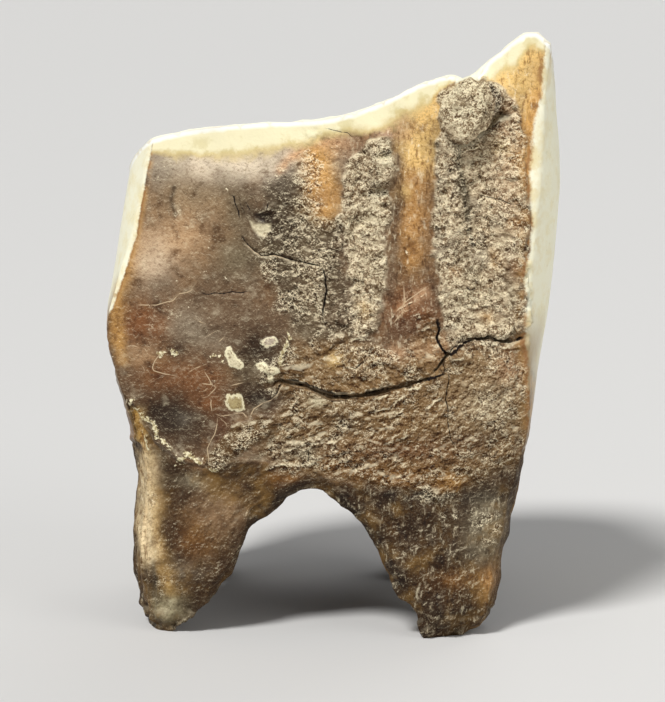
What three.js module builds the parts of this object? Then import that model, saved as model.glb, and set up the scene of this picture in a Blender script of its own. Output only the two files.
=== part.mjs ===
// A fossil upper molar of a woolly rhinoceros, standing on its four roots with the chewing surface up.
// Millimetres. +X is mesial (towards the front of the mouth), -Y is buccal (the cheek side), +Z is up,
// and the origin is on the ground under the middle of the tooth.
//
// The tooth grew as one piece, so it is one closed surface: a box whose points are moved. Across the box,
// u runs from the distal to the mesial side, v from the buccal to the lingual side and w from the root
// tips to the chewing surface.
import * as THREE from "three";
import { mergeVertices } from "three/addons/utils/BufferGeometryUtils.js";

const { lerp, clamp, smoothstep } = THREE.MathUtils;

// ---- Driving dimensions ----

const COLUMNS = 33; // from distal to mesial
const LAYERS = 19; // from buccal to lingual
const ROWS = 35; // from root tip to chewing surface
const WAIST_ROW = 13; // the row of points that follows the neck of the tooth and the long fracture
const NECK_HEIGHT = 30;

const BUCCAL_REACH = 26.3; // the buccal wall's distance from the middle of the tooth
const DISTAL_SETBACK = 3; // how much further back the distal end of that wall stands
const CHAMFER_SHARE = 0.15; // the share of the depth taken by the bare enamel strip at each buccal corner
const ROOT_EDGE_ROUNDING = 1.3;
const ROUNDING_HEIGHT = 3;
const VAULT_POWER = 3; // how squarely the two arches between the roots meet
const HALVINGS = 24;

// A smooth curve through hand-picked points, each [where, value].
function curve(points) {
  const spline = new THREE.CubicInterpolant(
    points.map((p) => p[0]),
    points.map((p) => p[1]),
    1,
  );
  return (where) => spline.evaluate(where)[0];
}

const bell = (t, middle, reach) => Math.exp(-(((t - middle) / reach) ** 2));

// ---- Outlines ----

// The widest reach of the distal and mesial sides at each height.
const distalReach = curve([
  [0, -24.6], [1.5, -25.3], [5, -26.1], [9, -26.7], [14, -26.9], [19, -26.3], [24, -26.4],
  [28, -27.1], [33, -28.3], [38, -29.2], [42.5, -29.5], [48, -28.6], [56, -27.3], [61, -26.4], [66, -25.3],
]);
const mesialReach = curve([
  [0, 19.2], [1.6, 21], [3.4, 22.2], [7, 22.8], [10.5, 23.2], [13.5, 24.1], [17, 24.9], [22, 25.6],
  [28, 26.7], [36, 27.7], [45, 29], [54, 29.8], [60, 30.2], [65, 30], [70, 29.6], [80, 29.2],
]);

// The width of the bare enamel strip at each buccal corner, by height.
const distalChamfer = curve([[0, 1.6], [20, 1.6], [32, 0.9], [42, 0.5], [48, 1.2], [56, 2.2], [68, 2.0]]);
const mesialChamfer = curve([[0, 1.6], [20, 1.4], [28, 0.7], [36, 1.8], [46, 3.2], [60, 3.1], [68, 2.2], [78, 0.9]]);

// The crest of the buccal wall, by place along the tooth: the distal edge, a notch and the mesial cusp.
const crest = curve([
  [-25, 66.4], [-23, 67], [-20.5, 67.6], [-16, 68.3], [-8, 68.9], [-1, 69.1], [2.5, 69.9], [7.5, 71.7],
  [12.5, 73.9], [15.3, 74.5], [16.5, 74.3], [17.3, 73.7], [18.4, 74.7], [21, 77.3], [23.6, 79.5],
  [25.2, 80.3], [26.5, 80], [28, 78.6],
]);

// The underside between the two buccal roots, by place along the tooth.
const buccalArch = curve([
  [-25, 0], [-21, 0], [-18.8, 1.9], [-16.2, 3.7], [-14.9, 5.2], [-13.4, 7.9], [-12, 10.6], [-11.2, 13.4],
  [-9.8, 15.2], [-7.2, 16.9], [-5.2, 18.9], [-2.8, 19.8], [-0.5, 19.1], [1.4, 17.7], [3.6, 15.8],
  [5.5, 13.3], [7, 10.4], [8.1, 7], [9.6, 5.3], [11.2, 3.6], [12.1, 0.8], [12.8, 0], [19, 0],
]);

// The same between the two lingual roots, by share of the width, and between buccal and lingual roots.
const lingualArch = curve([
  [0, 0], [0.18, 0], [0.24, 4], [0.32, 11], [0.41, 15.4], [0.49, 16.6], [0.58, 15.2], [0.68, 10.6],
  [0.76, 4], [0.82, 0], [1, 0],
]);
const depthArch = curve([
  [0, 0], [0.19, 0], [0.25, 4], [0.33, 10.5], [0.42, 14.6], [0.5, 15.6], [0.59, 14.2], [0.68, 9.2],
  [0.75, 3.2], [0.8, 0], [1, 0],
]);

// How far the buccal wall leans back, how much each side closes in towards the lingual wall, and where that
// wall stands, by height.
const buccalLean = curve([[0, -0.6], [8, 0.3], [20, 0.8], [30, 0.2], [42, 0], [58, 0.7], [80, 2.6]]);
const lingualTaper = curve([[0, 3.2], [15, 3.8], [30, 5.6], [50, 6.4], [80, 6.4]]);
const lingualReach = curve([[0, 19.5], [8, 22], [18, 24], [28, 25.2], [38, 24.6], [55, 21.8], [75, 18.5]]);

// ---- Relief of the buccal wall, as height above it at a place x, z ----

const FRACTURE_START = -6.6;
const FRACTURE_END = 24;
const FRACTURE_DEPTH = 1.1;
const FRACTURE_HALF_WIDTH = 0.3;

// The long fracture: it climbs mesially, steps up at the groove beside the mesial style, and runs on.
const fracture = curve([
  [-29, 30], [-12, 31.6], [-6.4, 34.6], [-4.2, 33.9], [-2.9, 33.8], [-1.4, 33.1], [0.3, 32.35],
  [1.6, 32.3], [3.8, 32.6], [6.2, 33], [10.1, 34.05], [12.7, 34.9], [14.1, 35.5], [15.7, 38.1],
  [16.7, 39.1], [18.1, 40.1], [20.5, 40.2], [23, 39.9], [25, 40.2], [29, 36],
]);
const fractureStrength = (x) =>
  smoothstep(x, FRACTURE_START - 1.5, FRACTURE_START + 1) *
  (1 - smoothstep(x, FRACTURE_END - 1, FRACTURE_END + 1));

// Upright ribs (positive) and grooves (negative) of the wall: middle, reach and height.
const RIBS = [
  { middle: -1.6, reach: 2.4, height: 0.6 },
  { middle: 4.4, reach: 2.6, height: -0.9 },
  { middle: 10.4, reach: 2.6, height: 1.3 },
  { middle: 19.6, reach: 2.2, height: -1.5 },
  { middle: 25.5, reach: 2.2, height: 0.7 },
  { middle: -13, reach: 5.5, height: -0.7 },
];

// Lumps of cement: middle, reach along and across, turn of the long way, and height.
const LUMPS = [
  { x: 17.6, z: 69.4, along: 4.6, across: 2.7, turn: 0.75, height: 2.2 },
  { x: 6.3, z: 63.6, along: 3.4, across: 1.6, turn: 1.5, height: 1.1 },
  { x: -12.4, z: 24.2, along: 6.2, across: 1.8, turn: 0.75, height: 0.9 },
  { x: 8, z: 27, along: 7, across: 2.2, turn: 0.3, height: 0.5 },
  { x: 20, z: 30.5, along: 6, across: 3.2, turn: 1.2, height: 0.6 },
  { x: 17, z: 11.5, along: 6, across: 3, turn: 1.5, height: 0.7 },
  { x: -19.5, z: 13, along: 7, across: 2.6, turn: 1.35, height: 0.7 },
];

function lumpHeight({ x, z, along, across, turn, height }, px, pz) {
  const dx = px - x;
  const dz = pz - z;
  const a = (dx * Math.cos(turn) + dz * Math.sin(turn)) / along;
  const b = (dz * Math.cos(turn) - dx * Math.sin(turn)) / across;
  return height * Math.exp(-((a * a + b * b) ** 1.5));
}

function buccalRelief(x, z) {
  const onCrown = smoothstep(z, 36, 44);
  const ribs = RIBS.reduce((sum, rib) => sum + rib.height * bell(x, rib.middle, rib.reach), 0);
  const lumps = LUMPS.reduce((sum, lump) => sum + lumpHeight(lump, x, z), 0);
  return ribs * onCrown + lumps;
}

// Slow unevenness of the weathered surface, in the range of about -1 to 1.
const unevenness = (x, y, z) =>
  0.5 * Math.sin(0.41 * x + 0.23 * z + 1.3) * Math.cos(0.37 * z - 0.19 * y) +
  0.5 * Math.sin(0.73 * z + 0.31 * x - 0.47 * y + 0.6) * Math.cos(0.59 * x + 0.43 * y);

// ---- Walls ----

// How far a side wall stands in from its widest reach at depth v: it starts behind the bare strip, comes
// out to its widest, then closes in towards the lingual wall.
function sideInset(chamfer, taper, v) {
  const strip = clamp(v / CHAMFER_SHARE, 0, 1);
  const beyond = clamp((v - CHAMFER_SHARE) / (1 - CHAMFER_SHARE), 0, 1);
  return chamfer * (1 - strip) ** 1.25 + taper * beyond ** 1.7;
}

// Each side is hollowed between its buccal and lingual root, and the hollow fades out up the crown.
const sideHollow = (v, z) => 2.6 * bell(v, 0.5, 0.2) * (1 - 0.75 * smoothstep(z, 16, 40));

function placeX(u, v, z) {
  const hollow = sideHollow(v, z) + 0.35 * smoothstep(v, 0.15, 0.3) * unevenness(0, 44 * v, z);
  const taper = lingualTaper(z);
  const distal = distalReach(z) + sideInset(distalChamfer(z), taper, v) + hollow;
  const mesial = mesialReach(z) - sideInset(mesialChamfer(z), taper, v) - hollow;
  return lerp(distal, mesial, u);
}

// How much a wall turns in near its lower rim, at a height above the underside.
const rimRounding = (rise) =>
  ROOT_EDGE_ROUNDING * (1 - clamp(rise / ROUNDING_HEIGHT, 0, 1)) ** 2;

function buccalY(u, z, floor) {
  const x = placeX(u, 0, z);
  const fromMiddle = Math.abs(2 * u - 1);
  const cornerTurn = lerp(3.2, 1.2, smoothstep(z, 14, 40)) * fromMiddle ** 4;
  const wall = buccalLean(z) + DISTAL_SETBACK * (1 - u) + cornerTurn - BUCCAL_REACH;
  return wall + rimRounding(z - floor) - buccalRelief(x, z) + 0.25 * unevenness(x, 0, z);
}

function lingualY(u, z, floor) {
  const fromMiddle = Math.abs(2 * u - 1);
  const valley = 6.5 * valleyShape(u) * smoothstep(z, 30, 50);
  const furrow = 2.4 * bell(u, 0.5, 0.14) * (1 - smoothstep(z, 24, 38));
  const cornerTurn = 7 * fromMiddle ** 3.4;
  const rough = 0.25 * unevenness(placeX(u, 1, z), BUCCAL_REACH, z);
  return lingualReach(z) - valley - furrow - cornerTurn - rimRounding(z - floor) + rough;
}

// ---- Underside and chewing surface ----

// The arch is drawn by place along the tooth, but that place shifts with height, so the height is found
// by halving.
function buccalArchAt(u) {
  let [low, high] = [0, NECK_HEIGHT];
  for (let step = 0; step < HALVINGS; step++) {
    const z = (low + high) / 2;
    if (buccalArch(placeX(u, 0, z)) > z) low = z;
    else high = z;
  }
  return low;
}

function underside(u, v) {
  const across = lerp(buccalArchAt(u), Math.max(0, lingualArch(u)), smoothstep(v, 0.3, 0.75));
  const inward = Math.max(0, depthArch(v));
  return (across ** VAULT_POWER + inward ** VAULT_POWER) ** (1 / VAULT_POWER);
}

// The closed pits of the chewing surface, as ovals in shares of its width and depth: middle, reach and depth
// in millimetres.
const PITS = [
  { u: 0.575, v: 0.421, width: 0.13, length: 0.19, depth: 6.5 },
  { u: 0.212, v: 0.474, width: 0.12, length: 0.2, depth: 7.5 },
];

const pitDepth = (pit, u, v) =>
  pit.depth * (1 - smoothstep(Math.hypot((u - pit.u) / pit.width, (v - pit.v) / pit.length), 0, 1));

// The open valley between the two lingual cusps runs in from the lingual side.
const VALLEY_PLACE = 0.424;
const VALLEY_DEPTH = 8.5;
const valleyShape = (u) => bell(u, VALLEY_PLACE, 0.07);

const chewedLevel = (x, y) => 62.6 + 0.19 * x - 0.2 * (y + 20);

const CREST_THICKNESS = 9;

function chewingSurface(u, v) {
  const front = crest(placeX(u, 0, 72));
  const x = placeX(u, v, 68);
  const wall = buccalY(u, 70, 0);
  const y = lerp(wall, lingualY(u, 58, 0), v);
  const crestFall = Math.exp(-(((y - wall) / CREST_THICKNESS) ** 1.6));
  const pits = PITS.reduce((sum, pit) => sum + pitDepth(pit, u, v), 0);
  const valley = VALLEY_DEPTH * valleyShape(u) * smoothstep(v, 0.5, 0.8);
  const level = chewedLevel(x, y);
  return level + (front - chewedLevel(x, -BUCCAL_REACH)) * crestFall - pits - valley;
}

// ---- The moved box ----

// The height of row w. Rows are shared out below and above the waist, which follows the fracture on the
// buccal wall; there the rows next to it close in on it.
function rowHeight(u, v, w, floor, top) {
  const waist = WAIST_ROW / ROWS;
  const onBuccalWall = 1 - smoothstep(v, 0, 0.3);
  const x = placeX(u, 0, NECK_HEIGHT);
  const neck = lerp(NECK_HEIGHT, fracture(x), onBuccalWall);
  if (w < waist) return lerp(floor, neck, w / waist);
  return lerp(neck, top, (w - waist) / (1 - waist));
}

function toothPoint(u, v, w) {
  const floor = underside(u, v);
  const top = chewingSurface(u, v);
  let z = rowHeight(u, v, w, floor, top);
  let carved = 0;
  if (v === 0) {
    const rowsFromWaist = Math.round(w * ROWS) - WAIST_ROW;
    const strength = fractureStrength(placeX(u, 0, NECK_HEIGHT));
    const waistHeight = rowHeight(u, v, WAIST_ROW / ROWS, floor, top);
    if (Math.abs(rowsFromWaist) === 1)
      z = lerp(z, waistHeight + rowsFromWaist * FRACTURE_HALF_WIDTH, strength);
    if (rowsFromWaist === 0) carved = FRACTURE_DEPTH * strength;
  }
  const x = placeX(u, v, z);
  const y = lerp(buccalY(u, z, floor) + carved, lingualY(u, z, floor), v);
  return [x, y, z];
}

function toothGeometry() {
  const box = new THREE.BoxGeometry(1, 1, 1, COLUMNS, LAYERS, ROWS);
  box.deleteAttribute("normal");
  box.deleteAttribute("uv");
  const points = box.getAttribute("position");
  for (let i = 0; i < points.count; i++) {
    const [u, v, w] = [points.getX(i), points.getY(i), points.getZ(i)].map((c) => clamp(c + 0.5, 0, 1));
    points.setXYZ(i, ...toothPoint(u, v, w));
  }
  const closed = mergeVertices(box, 1e-4);
  closed.computeBoundingBox();
  const middle = closed.boundingBox.getCenter(new THREE.Vector3());
  closed.translate(-middle.x, -middle.y, -closed.boundingBox.min.z);
  closed.computeVertexNormals();
  return closed;
}

// ---- The tooth ----

const fossilEnamel = new THREE.MeshStandardMaterial({ color: 0x7b5a3a, roughness: 0.5, metalness: 0 });

const tooth = new THREE.Mesh(toothGeometry(), fossilEnamel);
tooth.name = "tooth";

const fossil = new THREE.Group();
fossil.add(tooth);

export default fossil;
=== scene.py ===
"""The looks of a fossil woolly rhino molar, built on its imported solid.

The fine surface is made in mesh code: the solid is subdivided, weathered by a height in millimetres, and
thinned where it is smooth. Each point then carries fields, such as how deep it lies in the cement, that the
material turns into colour, gloss and grain.

Places on the cheek-side wall are (across, up), in thousandths of the tooth's width and height, from the
distal edge and from the floor. Places on the chewing surface are (across, back), in the same way.
"""
import functools
import itertools
import math

import bmesh
import bpy
import numpy as np
from mathutils import Matrix, Vector
from mathutils.kdtree import KDTree


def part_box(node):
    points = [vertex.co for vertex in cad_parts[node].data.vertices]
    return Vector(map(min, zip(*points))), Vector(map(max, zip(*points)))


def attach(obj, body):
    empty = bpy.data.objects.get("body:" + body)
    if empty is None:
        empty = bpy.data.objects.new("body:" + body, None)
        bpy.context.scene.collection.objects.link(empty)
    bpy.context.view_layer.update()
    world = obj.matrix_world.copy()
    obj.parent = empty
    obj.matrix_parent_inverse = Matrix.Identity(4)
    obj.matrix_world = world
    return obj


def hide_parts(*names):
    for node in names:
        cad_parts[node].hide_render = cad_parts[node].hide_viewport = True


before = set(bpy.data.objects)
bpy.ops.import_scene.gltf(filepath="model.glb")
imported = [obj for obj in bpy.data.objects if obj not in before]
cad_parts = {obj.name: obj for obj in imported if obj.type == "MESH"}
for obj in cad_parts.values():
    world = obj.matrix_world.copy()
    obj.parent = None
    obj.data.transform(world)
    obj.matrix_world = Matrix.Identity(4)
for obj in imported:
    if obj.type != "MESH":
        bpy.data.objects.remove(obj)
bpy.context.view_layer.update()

MM = 0.001
NODE = "tooth"
LOW, HIGH = (np.array(corner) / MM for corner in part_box(NODE))
SIZE = HIGH - LOW

SUBDIVISIONS = 3
CREASE_ANGLE = math.radians(38)
CREASE = 0.8
FITTING_ROUNDS = 3
FINEST_TRIANGLES = 192000
WEIGHT_STEPS = 24

# The rim is where the sides fold over into the chewing surface, above a height and outside its hollows.
RIM_LOWEST, RIM_MARGIN = 44, 6
RIM_TURN = 0.3
RIM_SHARES = (0, 0.2, 0.4, 0.6, 0.8)
RIM_PAST_HOLLOWS = 1.1
RIM_FURTHEST = 20.0

FAR = 9.0  # stands for further away than any layer reaches


# ---- Numbers ----


def smoothstep(value, start, end):
    t = np.clip((value - start) / (end - start), 0, 1)
    return t * t * (3 - 2 * t)


def bump(value, reach):
    return np.exp(-((value / reach) ** 2))


LATTICE = 256
CORNERS = np.array(list(itertools.product((0, 1), repeat=3)))
GRADIENTS = np.array([g for g in itertools.product((-1, 0, 1), repeat=3) if np.abs(g).sum() == 2], float)
_shuffle = np.random.RandomState(11).permutation(LATTICE)
SHUFFLE = np.concatenate([_shuffle, _shuffle, _shuffle])


def noise(points, grain, seed=0):
    """Gradient noise from about -1 to 1, with lumps as large as grain, in the unit of the points."""
    p = points / grain + seed * 17.31
    cell = np.floor(p).astype(int)
    f = p - cell
    cell %= LATTICE
    fade = f * f * f * (f * (f * 6 - 15) + 10)
    total = np.zeros(len(p))
    for corner in CORNERS:
        i, j, k = ((cell + corner) % LATTICE).T
        gradient = GRADIENTS[SHUFFLE[SHUFFLE[SHUFFLE[i] + j] + k] % len(GRADIENTS)]
        weight = np.where(corner, fade, 1 - fade).prod(1)
        total += weight * np.einsum("ij,ij->i", gradient, f - corner)
    return total * 1.5


def layered(points, grain, octaves, seed=0, fall=0.5):
    total = np.zeros(len(points))
    for octave in range(octaves):
        total += fall**octave * noise(points, grain / 2**octave, seed + octave)
    return total


# ---- Fields over the cheek-side wall, in millimetres ----


def wall(places):
    """Millimetres from (across, up) places."""
    places = np.array(places, float) / 1000
    return np.column_stack([LOW[0] + places[:, 0] * SIZE[0], LOW[2] + places[:, 1] * SIZE[2]])


def along_line(at, places):
    """Signed distance to a line of places, and how far inside its two ends the nearest point of it is."""
    line = wall(places)
    steps = np.diff(line, axis=0)
    lengths = np.hypot(*steps.T)
    starts = np.concatenate([[0], np.cumsum(lengths)])
    nearest = np.full(len(at), np.inf)
    signed = np.zeros(len(at))
    travelled = np.zeros(len(at))
    for start, step, length, before in zip(line, steps, lengths, starts):
        offset = at - start
        t = np.clip(offset @ step / length**2, 0, 1)
        apart = offset - t[:, None] * step
        distance = np.hypot(*apart.T)
        closer = distance < nearest
        nearest = np.where(closer, distance, nearest)
        side = np.sign(step[0] * offset[:, 1] - step[1] * offset[:, 0])
        signed = np.where(closer, distance * side, signed)
        travelled = np.where(closer, before + t * length, travelled)
    return signed, np.minimum(travelled, starts[-1] - travelled)


def inside(at, places):
    """Signed distance to the edge of an outline, positive inside."""
    outline = wall(places)
    nearest = np.full(len(at), np.inf)
    crossings = np.zeros(len(at), int)
    for a, b in zip(outline, np.roll(outline, -1, axis=0)):
        step = b - a
        offset = at - a
        t = np.clip(offset @ step / (step @ step), 0, 1)
        nearest = np.minimum(nearest, np.hypot(*(offset - t[:, None] * step).T))
        spans = (a[1] > at[:, 1]) != (b[1] > at[:, 1])
        rise = step[1] if step[1] else 1e-9
        crossings += spans & (at[:, 0] < a[0] + step[0] * (at[:, 1] - a[1]) / rise)
    return np.where(crossings % 2 == 1, nearest, -nearest)


def within(at, outline, start, end):
    """From 0 to 1 between two distances from the edge of an outline, positive inside."""
    return smoothstep(inside(at, outline), start, end)


def blob(at, place, reach, turn=0.0):
    """A soft oval: 1 in its middle, falling off over reach, (along, across) in millimetres."""
    offset = at - wall([place])[0]
    turn = math.radians(turn)
    a = (offset[:, 0] * math.cos(turn) + offset[:, 1] * math.sin(turn)) / reach[0]
    b = (offset[:, 1] * math.cos(turn) - offset[:, 0] * math.sin(turn)) / reach[1]
    return np.exp(-(a * a + b * b))


def stroke(at, places, half_width):
    return bump(along_line(at, places)[0], half_width)


def line_field(at, lines, reach):
    """The nearest line: signed distance over its half width, and 1 near it, fading to 0 at its ends."""
    best = np.full(len(at), np.inf)
    signed_best = np.full(len(at), FAR)
    shown = np.zeros(len(at))
    for line, half_width, *_ in lines:
        signed, from_end = along_line(at, line)
        distance = np.abs(signed)
        closer = distance < best
        best = np.where(closer, distance, best)
        signed_best = np.where(closer, signed / half_width, signed_best)
        here = smoothstep(from_end, -0.05, 0.8) * (1 - smoothstep(distance, 0.7 * reach, reach))
        shown = np.where(closer, here, shown)
    return signed_best, shown


# ---- What is where on the wall ----

# Open fractures, dark inside: the line, half its width and its depth in millimetres. They wander a little.
CRACK_WANDER = 0.35
FRACTURES = [
    ([(396, 434), (429, 424), (451, 426), (477, 416), (505, 405), (527, 405), (564, 409), (604, 414),
      (669, 427), (713, 436), (750, 449)], 0.13, 0.35),
    ([(725, 538), (734, 518), (727, 505), (734, 494), (745, 480), (760, 477), (778, 490), (804, 504),
      (828, 503), (843, 508), (865, 499), (887, 499), (919, 507)], 0.17, 0.5),
]
CRACKS = [
    ([(475, 621), (481, 612), (484, 605), (486, 594), (489, 583), (485, 573), (484, 562), (479, 550),
      (479, 537)], 0.11, 0.4),
    ([(300, 672), (309, 660), (329, 644), (345, 638), (374, 640), (403, 634), (420, 630), (451, 627),
      (477, 622)], 0.07, 0.3),
    ([(751, 378), (754, 357), (758, 337), (772, 324)], 0.05, 0.2),
    ([(274, 736), (285, 733), (289, 718), (295, 708), (299, 694)], 0.08, 0.2),
    ([(309, 727), (318, 714), (322, 708)], 0.06, 0.15),
    ([(360, 728), (358, 711), (357, 705)], 0.05, 0.1),
    ([(482, 844), (492, 844), (505, 841), (520, 837), (534, 837), (540, 832), (549, 830)], 0.04, 0.1),
    ([(211, 577), (228, 573), (243, 575), (260, 574), (281, 577), (300, 576), (320, 579)], 0.06, 0.12),
    ([(815, 737), (838, 733), (865, 730), (885, 723), (905, 722)], 0.05, 0.12),
    ([(534, 457), (549, 454), (572, 470)], 0.06, 0.12),
    ([(793, 659), (814, 659)], 0.05, 0.1),
    ([(784, 591), (795, 582), (806, 583), (814, 589)], 0.06, 0.12),
    ([(750, 449), (754, 440), (752, 428), (746, 403), (751, 392), (752, 378)], 0.06, 0.3),
    ([(396, 434), (384, 424), (378, 412), (368, 406)], 0.07, 0.2),
    ([(446, 318), (448, 305), (445, 292)], 0.07, 0.3),
    ([(745, 480), (738, 462), (750, 449)], 0.06, 0.2),
]

# Thin lines of pale sediment in the enamel.
HAIRLINES = [
    [(211, 402), (224, 403), (228, 406), (246, 420), (236, 425), (228, 437), (218, 448)],
    [(226, 404), (234, 399), (233, 391), (236, 377)],
    [(241, 376), (255, 372), (274, 374), (288, 377), (304, 378), (311, 371), (318, 371)],
    [(318, 371), (328, 385), (348, 395), (366, 400), (380, 409), (385, 418), (396, 430)],
    [(248, 370), (246, 355), (241, 341), (233, 331), (224, 316), (228, 299), (226, 286)],
    [(274, 423), (284, 425), (309, 430)],
    [(211, 427), (231, 425), (246, 424)],
    [(236, 486), (249, 494), (266, 505)],
    [(71, 555), (115, 555), (132, 559), (141, 561), (151, 562), (165, 574), (182, 576), (198, 582)],
    [(195, 537), (202, 531), (215, 527), (228, 524), (240, 523)],
    [(46, 484), (61, 488), (78, 484)],
    [(138, 478), (122, 474), (110, 462), (105, 451), (108, 446), (132, 441), (158, 438)],
    [(46, 440), (53, 437), (65, 438)],
    [(182, 443), (198, 451), (228, 460)],
    [(650, 538), (656, 570), (654, 596)],
    [(636, 548), (664, 570), (708, 592)],
    [(630, 528), (650, 548), (672, 556)],
    [(309, 657), (329, 643), (345, 636), (374, 638), (403, 632)],
]

HAIRLINE_WIDTH = 0.07

# Edges of plates, painted with a highlight along them and painted shade beneath: the line, with its upper
# side on the left, and half its width.
LEDGES = [
    ([(588, 381), (625, 390), (645, 402), (658, 410)], 0.2),
    ([(586, 402), (606, 405), (628, 414), (655, 418), (688, 423), (705, 433)], 0.2),
    ([(698, 382), (713, 392), (723, 401), (746, 405)], 0.2),
    ([(611, 328), (638, 334), (663, 343), (671, 349)], 0.2),
    ([(718, 325), (738, 335), (753, 345)], 0.17),
    ([(675, 319), (684, 325), (693, 329), (704, 328), (713, 323)], 0.22),
    ([(791, 483), (799, 489), (814, 496), (835, 493), (850, 495), (867, 488), (893, 493),
      (920, 493)], 0.22),
    ([(754, 470), (781, 470), (790, 481)], 0.16),
    ([(392, 311), (412, 318), (440, 326), (473, 329), (513, 331)], 0.16),
    ([(348, 282), (368, 288), (392, 292), (412, 289), (449, 291), (468, 300), (481, 302)], 0.2),
    ([(625, 535), (639, 551), (657, 561), (675, 568), (704, 580)], 0.1),
    ([(679, 516), (702, 521), (728, 527)], 0.22),
    ([(532, 498), (549, 502), (585, 501)], 0.16),
    ([(336, 705), (359, 713), (378, 711)], 0.14),
]

LEDGE_HEIGHT, LEDGE_SLOPE, LEDGE_REACH = 0.1, 1.5, 1.2

# Trails of pale crumbs: the line and half its width.
CRUMBS = [
    ([(75, 409), (68, 400), (56, 397), (55, 386)], 0.2),
    ([(71, 378), (85, 369), (88, 364), (106, 358), (112, 348), (110, 336)], 0.32),
    ([(120, 329), (130, 320), (140, 310), (156, 301), (167, 307), (187, 307)], 0.2),
    ([(162, 297), (175, 301), (187, 298), (205, 293)], 0.4),
    ([(153, 284), (170, 286)], 0.15),
    ([(233, 279), (242, 282), (260, 282)], 0.2),
    ([(78, 339), (90, 337), (92, 311)], 0.25),
    ([(233, 473), (242, 476), (256, 468)], 0.25),
    ([(408, 510), (409, 499), (394, 490), (388, 481), (386, 463)], 0.3),
    ([(148, 480), (154, 483), (161, 478), (154, 474), (148, 480)], 0.12),
    ([(122, 474), (138, 478)], 0.2),
]

# Flakes of sediment stuck to the enamel: colour and outline.
FLAKES = [
    ("bone", [(263, 473), (268, 486), (278, 487), (281, 476), (291, 471), (303, 463), (304, 454),
               (298, 448), (288, 453), (274, 460)]),
    ("dust", [(271, 410), (278, 408), (298, 406), (304, 400), (304, 384), (288, 380), (274, 382),
              (269, 395)]),
    ("shard", [(328, 460), (349, 462), (361, 452), (378, 457), (386, 449), (374, 442), (373, 429),
              (364, 430), (361, 442), (351, 447), (337, 449)]),
    ("lilac", [(346, 498), (355, 505), (370, 503), (377, 496), (368, 490), (355, 488)]),
]

# Cement: the patches in the two grooves and the lumps on them.
CEMENT_PATCHES = [
    [(623, 829), (633, 813), (640, 794), (633, 770), (625, 745), (629, 731), (638, 723), (638, 710),
     (629, 691), (616, 675), (623, 655), (616, 618), (616, 592), (610, 568), (612, 548), (599, 518),
     (573, 505), (542, 505), (531, 531), (529, 568), (538, 601), (527, 642), (523, 675), (510, 697),
     (525, 733), (516, 758), (529, 783), (546, 805), (579, 819), (602, 834)],
    [(732, 899), (765, 917), (819, 922), (872, 910), (905, 875), (925, 763), (926, 519), (865, 493),
     (756, 494), (727, 585), (715, 666), (719, 763), (727, 860)],
]
TAN_RIDGE = [(215, 293), (237, 320), (297, 361), (337, 375), (389, 367), (359, 340), (319, 322), (279, 303),
             (253, 282), (224, 280)]
GREAT_NODULE = [(770, 908), (789, 921), (820, 923), (841, 918), (864, 902), (868, 888), (860, 871),
                (841, 861), (816, 847), (799, 831), (787, 825), (770, 818), (753, 831), (741, 853),
                (732, 869), (741, 885), (753, 899)]
FACET = [(841, 918), (864, 902), (868, 888), (860, 871), (841, 869), (847, 888), (841, 907)]
SMALL_NODULE = [(581, 808), (602, 821), (629, 818), (640, 794), (629, 755), (613, 745), (586, 748),
                (575, 764)]
NOTCH_FRONT = -20.5  # the cement goes over the crest into the notch, up to here

# Dark recesses below the nodules: the line, half its width and its depth.
UNDERCUTS = [
    ([(770, 818), (784, 815), (799, 828), (820, 841), (841, 855), (858, 867), (874, 869)], 0.34, 1.3),
    ([(583, 748), (599, 747), (617, 747)], 0.22, 0.6),
]
GROOVE_LINES = [[(814, 809), (803, 796)], [(784, 812), (787, 796), (789, 758), (795, 737), (800, 708)]]

# Rougher ground: dark and granular beside the first rib, and the crust over the neck.
AMBER_RIB = [(468, 796), (475, 750), (484, 720)]
GRANULAR_GROUND = [(345, 740), (400, 800), (440, 845), (520, 845), (510, 700), (520, 600), (600, 500),
                   (520, 480), (430, 500), (405, 530), (372, 590), (335, 650), (352, 690)]
CRUST = [(330, 430), (400, 500), (530, 510), (640, 475), (700, 560), (740, 520), (925, 500), (935, 380),
         (915, 290), (740, 225), (540, 265), (400, 270), (330, 320), (390, 400)]

CHIP = [(318, 697), (329, 691), (345, 690), (367, 690), (363, 677), (351, 668), (338, 670), (323, 683)]
CHIP_SHADOW = [(336, 705), (378, 704), (367, 691), (341, 691), (327, 701)]
DENT = [(155, 746), (149, 729), (151, 715), (158, 703)]

ENAMEL_END = [(61, 386), (76, 373), (82, 352), (102, 335), (108, 322), (124, 315), (137, 307),
              (152, 296), (175, 292), (197, 287), (230, 286), (300, 283)]
LIP_END = -12  # it has a lip up to this x
SIDE_ENAMEL_END = 0.292  # share of the height at which it ends round the sides
DRAWN_UP_TO = [(210, 0), (300, 0)]  # between these the line above gives way to that height

# The bare enamel strips: the stained face lies between these two borders.
DISTAL_BORDER = [(118, 860), (113, 829), (98, 775), (84, 718), (73, 668), (46, 605), (19, 547), (-20, 500)]
MESIAL_BORDER = [(972, 1020), (961, 972), (957, 908), (950, 881), (938, 838), (935, 790), (934, 687),
                 (927, 635), (924, 568), (925, 505), (932, 428), (940, 360), (960, 320), (1040, 300)]

DISTAL_BARE_ABOVE, MESIAL_BARE_ABOVE = 0.50, 0.33  # round the sides, as shares of the height

ARCH_MIDDLE = (466, 0)
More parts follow.
